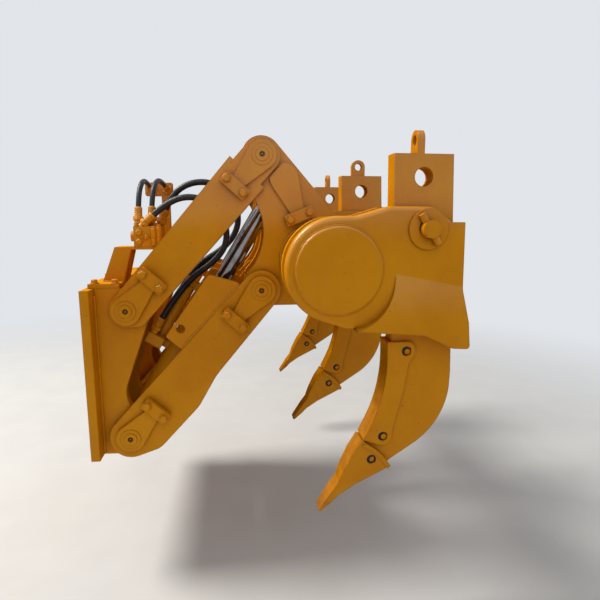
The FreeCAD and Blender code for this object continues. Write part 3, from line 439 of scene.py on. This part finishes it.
def make_manifold_details(paint):
    """Valve cartridges, port plugs and the nuts round the hoses' ferrules."""
    bm = bmesh.new()
    for x, low, high, radius in CARTRIDGES:
        middle = (x, MANIFOLD_NEAR_FACE + 0.004, 0.0)
        profile = [(low, radius * 0.8), (low + 0.004, radius), (low + 0.030, radius),
                   (low + 0.032, radius * 0.86), (low + 0.036, radius * 0.86), (low + 0.038, radius),
                   (high - 0.004, radius), (high, radius * 0.85)]
        turned(bm, profile, middle, (0, 0, 1), 24)
        hexagon(bm, (x, middle[1], high - 0.001), (0, 0, 1), radius * 1.5, 0.010, x)
    for x, z, across in PLUGS:
        bolt(bm, (x, MANIFOLD_NEAR_FACE, z), (0, -1, 0), across, 0.009, 3 * z)
    for x in FAR_BOLTS:
        bolt(bm, (x, MANIFOLD_FAR_FACE, FAR_BOLT_HEIGHT), (0, 1, 0), 0.022, 0.010, x)
    for name, (_, _, points) in HOSES.items():
        start = Vector(points[0])
        way = (Vector(points[1]) - start).normalized()
        foot = start - way * ((start.z - MANIFOLD_TOP + 0.004) / way.z)
        if name.startswith("hose_lift"):
            hexagon(bm, foot + way * 0.018, way, 0.045, 0.014, 0.2)
        else:
            seat = (points[0][0], points[0][1], MANIFOLD_TOP - 0.001)
            hexagon(bm, seat, (0, 0, 1), 0.042, 0.017, 0.2)
    piece = finished(bm, "manifold_fittings", smooth=False)
    piece.data.materials.append(paint)
    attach(piece, "bracket")


def gland_ring(side, radius, count, shift=0.0):
    """The cylinder's axis, and points round it on the end face of its gland."""
    axis = Vector((ROD_PIN[0] - LOWER_FRONT_PIN[0], 0, ROD_PIN[1] - LOWER_FRONT_PIN[1])).normalized()
    out = axis.orthogonal().normalized()
    middle = side_point(LOWER_FRONT_PIN, ROD_PIN, GLAND_END, 0.0, side * CYLINDER_LANE)
    return axis, circle(middle, out, axis.cross(out), radius, count, shift)


def make_gland_screws(paint):
    """The ring of socket screws in each cylinder's gland."""
    for name, side in SIDES:
        bm = bmesh.new()
        axis, places = gland_ring(side, GLAND_SCREW_CIRCLE, GLAND_SCREWS, 0.5)
        for place in places:
            turned(bm, GLAND_SCREW, place, axis, 18)
        piece = finished(bm, "gland_screws_" + name, smooth=False)
        piece.data.materials.append(paint)
        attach(piece, "cylinder_" + name)


def make_gland_seals(rubber):
    """The dark wiper ring where each rod leaves its gland."""
    for name, side in SIDES:
        bm = bmesh.new()
        ring = gland_ring(side, WIPER_CIRCLE, WIPER_STEPS)[1]
        swept(bm, ring, [WIPER_RADIUS] * WIPER_STEPS, 10, closed=True)
        piece = finished(bm, "gland_wiper_" + name)
        piece.data.materials.append(rubber)
        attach(piece, "cylinder_" + name)


# Welds: the ripples' pitch and steps, the beads' radii and how far off a face their middles lie
RIPPLE = 0.007
RIPPLE_STEPS = 4
BEAD = 0.008
BEAD_OFF = 0.002
CAP_BEAD = 0.0045
STAND_BEAD = 0.004
SEAM_BEAD = 0.0065


def bead(bm, points, radius, closed, seed):
    """Adds a rippled weld bead along closely spaced points."""
    wobble = random.Random(seed)
    radii = []
    drift = 0.0
    for i in range(len(points)):
        drift = 0.9 * drift + wobble.uniform(-0.03, 0.03)
        phase = math.pi * (i % RIPPLE_STEPS) / RIPPLE_STEPS
        radii.append(radius * (0.86 + 0.14 * math.sin(phase) + drift))
    swept(bm, points, radii, 8, closed)


def circle_points(centre, radius, y):
    count = RIPPLE_STEPS * round(2 * math.pi * radius / RIPPLE)
    return [Vector((centre[0] + radius * math.cos(2 * math.pi * i / count), y,
                    centre[1] + radius * math.sin(2 * math.pi * i / count))) for i in range(count)]


def line_points(start, end):
    start, end = Vector(start), Vector(end)
    count = RIPPLE_STEPS * round((end - start).length / RIPPLE)
    return [start.lerp(end, i / count) for i in range(count + 1)]


def ear_beads(side):
    """Where the beads of one side's ears lie, just off the ears' faces."""
    return [side * (face + (BEAD_OFF if k % 2 else -BEAD_OFF)) for k, face in enumerate(EAR_FACES)]


def make_welds(paint):
    """The beads round the beam's tube, at the bracket's ears and stand, and along the guards' seams."""
    beam = bmesh.new()
    seed = 0
    rings = []
    for side in (-1, 1):
        pockets = [side * (POCKET_FACES[0] + BEAD_OFF), side * (POCKET_FACES[1] - BEAD_OFF)]
        for y in ear_beads(side) + pockets:
            rings.append((y, TUBE_RADIUS + BEAD_OFF, BEAD))
        rings.append((side * BEAM_HALF_WIDTH, TUBE_RADIUS + 0.001, CAP_BEAD))
    for y, radius, size in rings:
        bead(beam, circle_points(TUBE, radius, y), size, True, seed)
        seed += 1
    roots = bmesh.new()
    low, high = EAR_ROOT_SPAN
    for side in (-1, 1):
        for y in ear_beads(side):
            bead(roots, line_points((EAR_ROOT, y, low), (EAR_ROOT, y, high)), BEAD, False, seed)
            seed += 1
    front, rear, foot = STAND_FOOT
    for y in STAND_WALLS:
        bead(roots, line_points((front, y, foot), (rear, y, foot)), STAND_BEAD, False, seed)
        seed += 1
    seams = bmesh.new()
    for side in (-1, 1):
        start, end = [side_point(LOWER_FRONT_PIN, LOWER_REAR_PIN, along, across, side * GUARD_FACE)
                      for along, across in GUARD_SEAM]
        bead(seams, line_points(start, end), SEAM_BEAD, False, seed)
        seed += 1
    for bm, name, body in ((beam, "beam_welds", "tool_beam"), (roots, "bracket_welds", "bracket"),
                           (seams, "arm_welds", "lower_arm")):
        piece = finished(bm, name)
        piece.data.materials.append(paint)
        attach(piece, body)


# Materials
def linear(red, green, blue):
    """A colour's 0 to 255 values as the shader's own."""
    def one(value):
        value /= 255
        return value / 12.92 if value <= 0.04045 else ((value + 0.055) / 1.055) ** 2.4
    return (one(red), one(green), one(blue), 1.0)


class Graph:
    """Short calls for the nodes of one material."""

    def __init__(self, name):
        self.material = bpy.data.materials.new(name)
        self.material.use_nodes = True
        self.tree = self.material.node_tree
        self.shader = self.tree.nodes["Principled BSDF"]
        self.place = self.add("ShaderNodeTexCoord").outputs["Object"]

    def add(self, kind, **settings):
        node = self.tree.nodes.new(kind)
        for key, value in settings.items():
            setattr(node, key, value)
        return node

    def link(self, source, target):
        self.tree.links.new(source, target)

    def noise(self, scale, detail=4.0, roughness=0.55, stretch=None, place=None):
        node = self.add("ShaderNodeTexNoise")
        node.inputs["Scale"].default_value = scale
        node.inputs["Detail"].default_value = detail
        node.inputs["Roughness"].default_value = roughness
        source = place or self.place
        if stretch:
            mapping = self.add("ShaderNodeMapping")
            mapping.inputs["Scale"].default_value = stretch
            self.link(source, mapping.inputs["Vector"])
            source = mapping.outputs["Vector"]
        self.link(source, node.inputs["Vector"])
        return node.outputs["Fac"]

    def ramp(self, source, low, high, bottom=0.0, top=1.0):
        """The source's range from low to high, spread over bottom to top."""
        node = self.add("ShaderNodeMapRange", interpolation_type="SMOOTHSTEP")
        for name, value in (("From Min", low), ("From Max", high), ("To Min", bottom), ("To Max", top)):
            node.inputs[name].default_value = value
        self.link(source, node.inputs["Value"])
        return node.outputs["Result"]

    def maths(self, operation, first, second):
        node = self.add("ShaderNodeMath", operation=operation)
        for socket, value in zip(node.inputs, (first, second)):
            if isinstance(value, (int, float)):
                socket.default_value = value
            else:
                self.link(value, socket)
        return node.outputs["Value"]

    def mixed(self, share, first, second):
        """The first colour turning into the second one as the share rises."""
        node = self.add("ShaderNodeMix", data_type="RGBA")
        for socket, value in ((node.inputs[0], share), (node.inputs[6], first), (node.inputs[7], second)):
            if isinstance(value, (int, float, tuple)):
                socket.default_value = value
            else:
                self.link(value, socket)
        return node.outputs[2]

    def bumped(self, layers, edge=0.0):
        """Stacks bumps of (height source, strength, distance) on a normal with softened edges."""
        normal = None
        if edge:
            soft = self.add("ShaderNodeBevel", samples=4)
            soft.inputs["Radius"].default_value = edge
            normal = soft.outputs["Normal"]
        for height, strength, distance in layers:
            bump = self.add("ShaderNodeBump")
            bump.inputs["Strength"].default_value = strength
            bump.inputs["Distance"].default_value = distance
            self.link(height, bump.inputs["Height"])
            if normal:
                self.link(normal, bump.inputs["Normal"])
            normal = bump.outputs["Normal"]
        self.link(normal, self.shader.inputs["Normal"])

    def set(self, **values):
        for name, value in values.items():
            self.shader.inputs[name.replace("_", " ")].default_value = value


# The paint's colours. The grime colour is also painted shade in hollows; the darker orange below the soil
# is painted shade on the castings' low leading faces
PAINT = linear(208, 137, 2)
PAINT_DEEP = linear(195, 122, 1)
DUST = linear(178, 138, 78)
GRIME_AND_SHADE = linear(74, 44, 14)
SOIL = linear(92, 66, 38)
LEADING_SHADE = linear(128, 76, 2)
GLOSS_TINT = (1.0, 0.80, 0.50, 1.0)

# Heights between which soil, the painted shade on leading faces and the painted sky sheen fade, and how
# much a face's tilt adds to its height
SOIL_BOTTOM = -0.462
SOIL_TOP = -0.370
LEADING_LOW = 0.20
LEADING_TOP = 0.46
SHEEN_START = 0.66
SHEEN_FULL = 0.82
SHEEN_TILT = 1.6
SHEEN_RIPPLE = 0.09

# How strong and how rough the gloss is, and how far the enamel reaches round a rod's eye
SHEEN_WEIGHT = 0.85
GLOSS = 0.28
ROUGH_LOW = 0.28
ROUGH_HIGH = 0.40
COAT_ROUGHNESS = 0.36
EYE_PAINT_EDGE = 0.088


def paint_material(name, grain_scale, grain_strength, edge, dull=0.0, soiled_and_shaded=False):
    """Enamel: mottled, dusty on top, grimy and darkened with painted shade in hollows, with a painted sky
    reflection as coat gloss higher up and on faces tilted up; castings also get soil low down and painted
    shade on low leading faces.
    """
    g = Graph(name)
    mottle = g.ramp(g.noise(2.6, 5.0, 0.6), 0.32, 0.70)
    colour = g.mixed(mottle, PAINT, PAINT_DEEP)
    streaks = g.ramp(g.noise(6.0, 4.0, 0.6, stretch=(1.6, 1.6, 0.22)), 0.56, 0.78, 0.0, 0.08)
    colour = g.mixed(streaks, colour, DUST)
    normal = g.add("ShaderNodeSeparateXYZ")
    geometry = g.add("ShaderNodeNewGeometry")
    g.link(geometry.outputs["Normal"], normal.inputs["Vector"])
    upward = g.ramp(normal.outputs["Z"], 0.35, 1.0)
    dusty = g.maths("MULTIPLY", upward, g.ramp(g.noise(9.0, 6.0, 0.65), 0.30, 0.72, 0.03, 0.26))
    colour = g.mixed(dusty, colour, DUST)
    # Painted shade with grime: hollows found by ambient occlusion turn dark, standing for both dirt and the
    # shade that falls in them
    hollow = g.add("ShaderNodeAmbientOcclusion", samples=6)
    hollow.inputs["Distance"].default_value = 0.035
    crevice_grime_and_shade = g.ramp(hollow.outputs["AO"], 0.30, 0.86, 0.55, 0.0)
    crevice_grime_and_shade = g.maths("MULTIPLY", crevice_grime_and_shade, g.ramp(g.noise(38.0, 3.0), 0.25, 0.75, 0.45, 1.0))
    colour = g.mixed(crevice_grime_and_shade, colour, GRIME_AND_SHADE)
    spots = g.ramp(g.noise(95.0, 2.0, 0.5), 0.715, 0.755, 0.0, 0.55)
    colour = g.mixed(spots, colour, GRIME_AND_SHADE)
    height = g.add("ShaderNodeSeparateXYZ")
    g.link(g.place, height.inputs["Vector"])
    if soiled_and_shaded:
        low = g.ramp(height.outputs["Z"], SOIL_BOTTOM, SOIL_TOP, 0.75, 0.0)
        soil = g.maths("MULTIPLY", low, g.ramp(g.noise(24.0, 5.0, 0.65), 0.36, 0.66, 0.05, 1.0))
        colour = g.mixed(soil, colour, SOIL)
        # Painted shade: faces leading towards -X are darkened, more so lower down, as if in the shade of
        # the machine in front
        leading = g.ramp(normal.outputs["X"], -0.85, -0.25, 1.0, 0.0)
        below = g.ramp(height.outputs["Z"], LEADING_LOW, LEADING_TOP, 1.0, 0.25)
        leading = g.maths("MULTIPLY", leading, below)
        painted_leading_shade = g.maths("MULTIPLY", leading, g.ramp(g.noise(17.0, 5.0, 0.6), 0.25, 0.70, 0.40, 0.80))
        colour = g.mixed(painted_leading_shade, colour, LEADING_SHADE)
    g.link(colour, g.shader.inputs["Base Color"])
    smooth = g.ramp(g.noise(14.0, 4.0), 0.3, 0.7, ROUGH_LOW + dull, ROUGH_HIGH + dull)
    rough = g.maths("ADD", smooth, g.maths("MULTIPLY", g.maths("ADD", dusty, crevice_grime_and_shade), 0.5))
    g.link(rough, g.shader.inputs["Roughness"])
    # Painted reflection: the coat's gloss rises with height and with faces tilted up, standing for a bright
    # sky reflected above a dark horizon
    raised = g.maths("ADD", height.outputs["Z"], g.maths("MULTIPLY", normal.outputs["Z"], SHEEN_TILT))
    raised = g.maths("ADD", raised, g.maths("MULTIPLY", g.noise(6.0, 2.0), SHEEN_RIPPLE))
    facing = g.add("ShaderNodeLayerWeight").outputs["Facing"]
    clear = g.ramp(facing, 0.32, 0.68, 1.0, 0.0)
    painted_sky_sheen = g.maths("MULTIPLY", clear, g.ramp(raised, SHEEN_START, SHEEN_FULL, 0.0, SHEEN_WEIGHT))
    g.link(painted_sky_sheen, g.shader.inputs["Coat Weight"])
    g.link(g.maths("MULTIPLY", clear, GLOSS), g.shader.inputs["Specular IOR Level"])
    g.set(Specular_Tint=GLOSS_TINT, Coat_Roughness=COAT_ROUGHNESS + dull)
    waves = g.noise(11.0, 1.5, 0.5)
    grain = g.noise(grain_scale, 5.0, 0.6)
    peel = g.noise(420.0, 2.0, 0.5)
    g.bumped([(waves, 0.12, 0.006), (grain, grain_strength, 0.002), (peel, 0.10, 0.0006)], edge)
    return g.material


def rod_material():
    """Hard chrome with faint lengthwise wear and a film of oil, and enamel on the rod's eye."""
    g = Graph("hard_chrome")
    lean = math.atan2(ROD_PIN[0] - LOWER_FRONT_PIN[0], ROD_PIN[1] - LOWER_FRONT_PIN[1])
    turn = g.add("ShaderNodeMapping")
    turn.inputs["Rotation"].default_value = (0.0, -lean, 0.0)
    g.link(g.place, turn.inputs["Vector"])
    wear = g.noise(160.0, 3.0, 0.6, stretch=(1.0, 1.0, 0.02), place=turn.outputs["Vector"])
    film = g.ramp(g.noise(11.0, 5.0), 0.35, 0.7)
    bright = g.mixed(film, linear(150, 151, 156), linear(112, 109, 106))
    flat = g.add("ShaderNodeMapping")
    flat.inputs["Scale"].default_value = (1.0, 0.0, 1.0)
    g.link(g.place, flat.inputs["Vector"])
    apart = g.add("ShaderNodeVectorMath", operation="DISTANCE")
    g.link(flat.outputs["Vector"], apart.inputs[0])
    apart.inputs[1].default_value = (ROD_PIN[0], 0.0, ROD_PIN[1])
    chromed = g.ramp(apart.outputs["Value"], EYE_PAINT_EDGE, EYE_PAINT_EDGE + 0.001)
    enamel = g.mixed(g.ramp(g.noise(5.0, 5.0), 0.32, 0.70), PAINT, PAINT_DEEP)
    g.link(g.mixed(chromed, enamel, bright), g.shader.inputs["Base Color"])
    smooth = g.maths("MULTIPLY", g.maths("SUBTRACT", 1.0, chromed), 0.26)
    g.link(g.maths("ADD", smooth, g.ramp(wear, 0.3, 0.75, 0.06, 0.14)), g.shader.inputs["Roughness"])
    g.link(chromed, g.shader.inputs["Metallic"])
    return g.material


def rubber_material():
    """Black hose cover with its wrapped-cloth pattern and a little dust."""
    g = Graph("hose_cover")
    uv = g.add("ShaderNodeUVMap").outputs["UV"]
    wrap = g.add("ShaderNodeTexWave", wave_type="BANDS", bands_direction="Y", wave_profile="SIN")
    slant = g.add("ShaderNodeMapping")
    slant.inputs["Rotation"].default_value = (0, 0, 0.10)
    g.link(uv, slant.inputs["Vector"])
    g.link(slant.outputs["Vector"], wrap.inputs["Vector"])
    wrap.inputs["Scale"].default_value = 75.0
    wrap.inputs["Distortion"].default_value = 0.4
    dust = g.ramp(g.noise(26.0, 5.0, 0.65), 0.45, 0.78, 0.0, 0.30)
    g.link(g.mixed(dust, linear(20, 20, 24), linear(84, 76, 66)), g.shader.inputs["Base Color"])
    g.link(g.ramp(g.noise(40.0, 3.0), 0.3, 0.7, 0.34, 0.56), g.shader.inputs["Roughness"])
    g.set(Specular_IOR_Level=0.35)
    g.bumped([(wrap.outputs["Fac"], 0.22, 0.0010), (g.noise(500.0, 2.0), 0.15, 0.0005)])
    return g.material


def gap_shade_material():
    """Painted shade for the gap round a shank pin: near black with a gritty mottle."""
    g = Graph("painted_gap_shade")
    grit = g.ramp(g.noise(260.0, 4.0), 0.40, 0.72)
    g.link(g.mixed(grit, linear(17, 13, 9), linear(46, 33, 18)), g.shader.inputs["Base Color"])
    g.link(g.ramp(g.noise(90.0, 3.0), 0.3, 0.7, 0.30, 0.60), g.shader.inputs["Roughness"])
    g.bumped([(g.noise(420.0, 3.0), 0.30, 0.0008)])
    return g.material


def steel_material():
    """Bright plated steel with a dirty film."""
    g = Graph("plated_steel")
    film = g.ramp(g.noise(120.0, 4.0), 0.35, 0.7)
    g.link(g.mixed(film, linear(160, 155, 145), linear(96, 84, 66)), g.shader.inputs["Base Color"])
    g.link(g.ramp(g.noise(160.0, 3.0), 0.3, 0.7, 0.25, 0.5), g.shader.inputs["Roughness"])
    g.set(Metallic=1.0)
    g.bumped([(g.noise(900.0, 2.0), 0.10, 0.0003)])
    return g.material


CAST_NODES = ("shank", "shin_guard", "ripper_point", "wear_pins")


def dress_nodes(plate_paint, cast_paint, rod_surface, rubber):
    for name, node in nodes.items():
        if name.startswith("piston_rod"):
            material = rod_surface
        elif name.startswith("hose"):
            material = rubber
        elif name.startswith(CAST_NODES):
            material = cast_paint
        else:
            material = plate_paint
        for slot in node.material_slots:
            slot.material = material


# Backdrop, sky and floor, where the floor fades, and each lamp's place, size, power and colour
BACKDROP = linear(226, 229, 233)
WORLD_LEVEL = 0.51
SKY_LOW = linear(150, 150, 150)
SKY_HIGH = linear(250, 252, 255)
SKY_SPAN = (-0.2, 0.9)
FLOOR_REACH = 30.0
FLOOR_FADE = (2.4, 7.0)
LAMPS = (
    ("key", (-4.9, 0.9, 7.6), 3.0, 1120.0, (1.0, 0.97, 0.90)),
    ("front", (1.3, -4.5, 3.2), 4.0, 40.0, (1.0, 0.98, 0.94)),
)
LAMP_AIM = Vector((0.8, 0.0, 0.3))


def background_share(tree):
    """One for the rays that show the background: from the camera, off gloss and through glass."""
    rays = tree.nodes.new("ShaderNodeLightPath")
    total = rays.outputs["Is Camera Ray"]
    for name in ("Is Glossy Ray", "Is Transmission Ray"):
        either = tree.nodes.new("ShaderNodeMath")
        either.operation = "MAXIMUM"
        tree.links.new(total, either.inputs[0])
        tree.links.new(rays.outputs[name], either.inputs[1])
        total = either.outputs["Value"]
    return total


def make_stage():
    """A plain floor that meets the backdrop's colour far from the object."""
    bm = bmesh.new()
    bmesh.ops.create_grid(bm, x_segments=2, y_segments=2, size=FLOOR_REACH)
    bmesh.ops.translate(bm, verts=bm.verts, vec=(0, 0, FLOOR))
    floor = finished(bm, "floor")
    g = Graph("pale_floor")
    tone = g.ramp(g.noise(3.0, 3.0), 0.3, 0.7)
    g.link(g.mixed(tone, linear(201, 200, 199), linear(197, 196, 195)), g.shader.inputs["Base Color"])
    g.set(Roughness=0.9, Specular_IOR_Level=0.2)
    far = g.add("ShaderNodeVectorMath", operation="LENGTH")
    g.link(g.place, far.inputs[0])
    fade = g.ramp(far.outputs["Value"], *FLOOR_FADE)
    glow = g.add("ShaderNodeEmission")
    glow.inputs["Color"].default_value = BACKDROP
    blend = g.add("ShaderNodeMixShader")
    g.link(g.maths("MULTIPLY", fade, background_share(g.tree)), blend.inputs[0])
    g.link(g.shader.outputs["BSDF"], blend.inputs[1])
    g.link(glow.outputs["Emission"], blend.inputs[2])
    g.link(blend.outputs["Shader"], g.tree.nodes["Material Output"].inputs["Surface"])
    floor.data.materials.append(g.material)


def make_light():
    """A soft pale sky, a key lamp high in front of the bracket and a weak fill from the camera's side."""
    world = bpy.data.worlds.new("sky")
    bpy.context.scene.world = world
    world.use_nodes = True
    tree = world.node_tree
    light = tree.nodes["Background"]
    coordinates = tree.nodes.new("ShaderNodeTexCoord")
    split = tree.nodes.new("ShaderNodeSeparateXYZ")
    tree.links.new(coordinates.outputs["Generated"], split.inputs["Vector"])
    height = tree.nodes.new("ShaderNodeMapRange")
    height.inputs["From Min"].default_value = SKY_SPAN[0]
    height.inputs["From Max"].default_value = SKY_SPAN[1]
    tree.links.new(split.outputs["Z"], height.inputs["Value"])
    sky = tree.nodes.new("ShaderNodeMix")
    sky.data_type = "RGBA"
    sky.inputs[6].default_value = SKY_LOW
    sky.inputs[7].default_value = SKY_HIGH
    tree.links.new(height.outputs["Result"], sky.inputs[0])
    tree.links.new(sky.outputs[2], light.inputs["Color"])
    light.inputs["Strength"].default_value = WORLD_LEVEL
    shown = tree.nodes.new("ShaderNodeBackground")
    shown.inputs["Color"].default_value = BACKDROP
    shown.inputs["Strength"].default_value = 1.0
    blend = tree.nodes.new("ShaderNodeMixShader")
    tree.links.new(background_share(tree), blend.inputs[0])
    tree.links.new(light.outputs["Background"], blend.inputs[1])
    tree.links.new(shown.outputs["Background"], blend.inputs[2])
    tree.links.new(blend.outputs["Shader"], tree.nodes["World Output"].inputs["Surface"])
    for name, place, size, power, colour in LAMPS:
        data = bpy.data.lights.new(name, "AREA")
        data.shape = "DISK"
        data.size = size
        data.energy = power
        data.color = colour
        lamp = bpy.data.objects.new(name, data)
        bpy.context.scene.collection.objects.link(lamp)
        lamp.location = place
        aim = LAMP_AIM - Vector(place)
        lamp.rotation_euler = aim.to_track_quat("-Z", "Y").to_euler()


make_camera()
rubber = rubber_material()
make_hoses(rubber)
plate_paint = paint_material("plate_enamel", 55.0, 0.10, 0.010)
fitting_paint = paint_material("fitting_enamel", 55.0, 0.10, 0.002, dull=0.18)
cast_paint = paint_material("casting_enamel", 120.0, 0.30, 0.008, soiled_and_shaded=True)
rod_surface = rod_material()
steel = steel_material()
make_crimps(fitting_paint)
make_keeper_bolts(fitting_paint)
make_grease_nipples(steel)
make_stand_bolts(fitting_paint)
make_pin_retainers_and_socket_shade(rubber)
make_pin_gap_shade(gap_shade_material())
make_manifold_details(fitting_paint)
make_gland_screws(fitting_paint)
make_gland_seals(rubber)
make_welds(plate_paint)
dress_nodes(plate_paint, cast_paint, rod_surface, rubber)
make_stage()
make_light()
bpy.context.scene.view_settings.view_transform = "Standard"
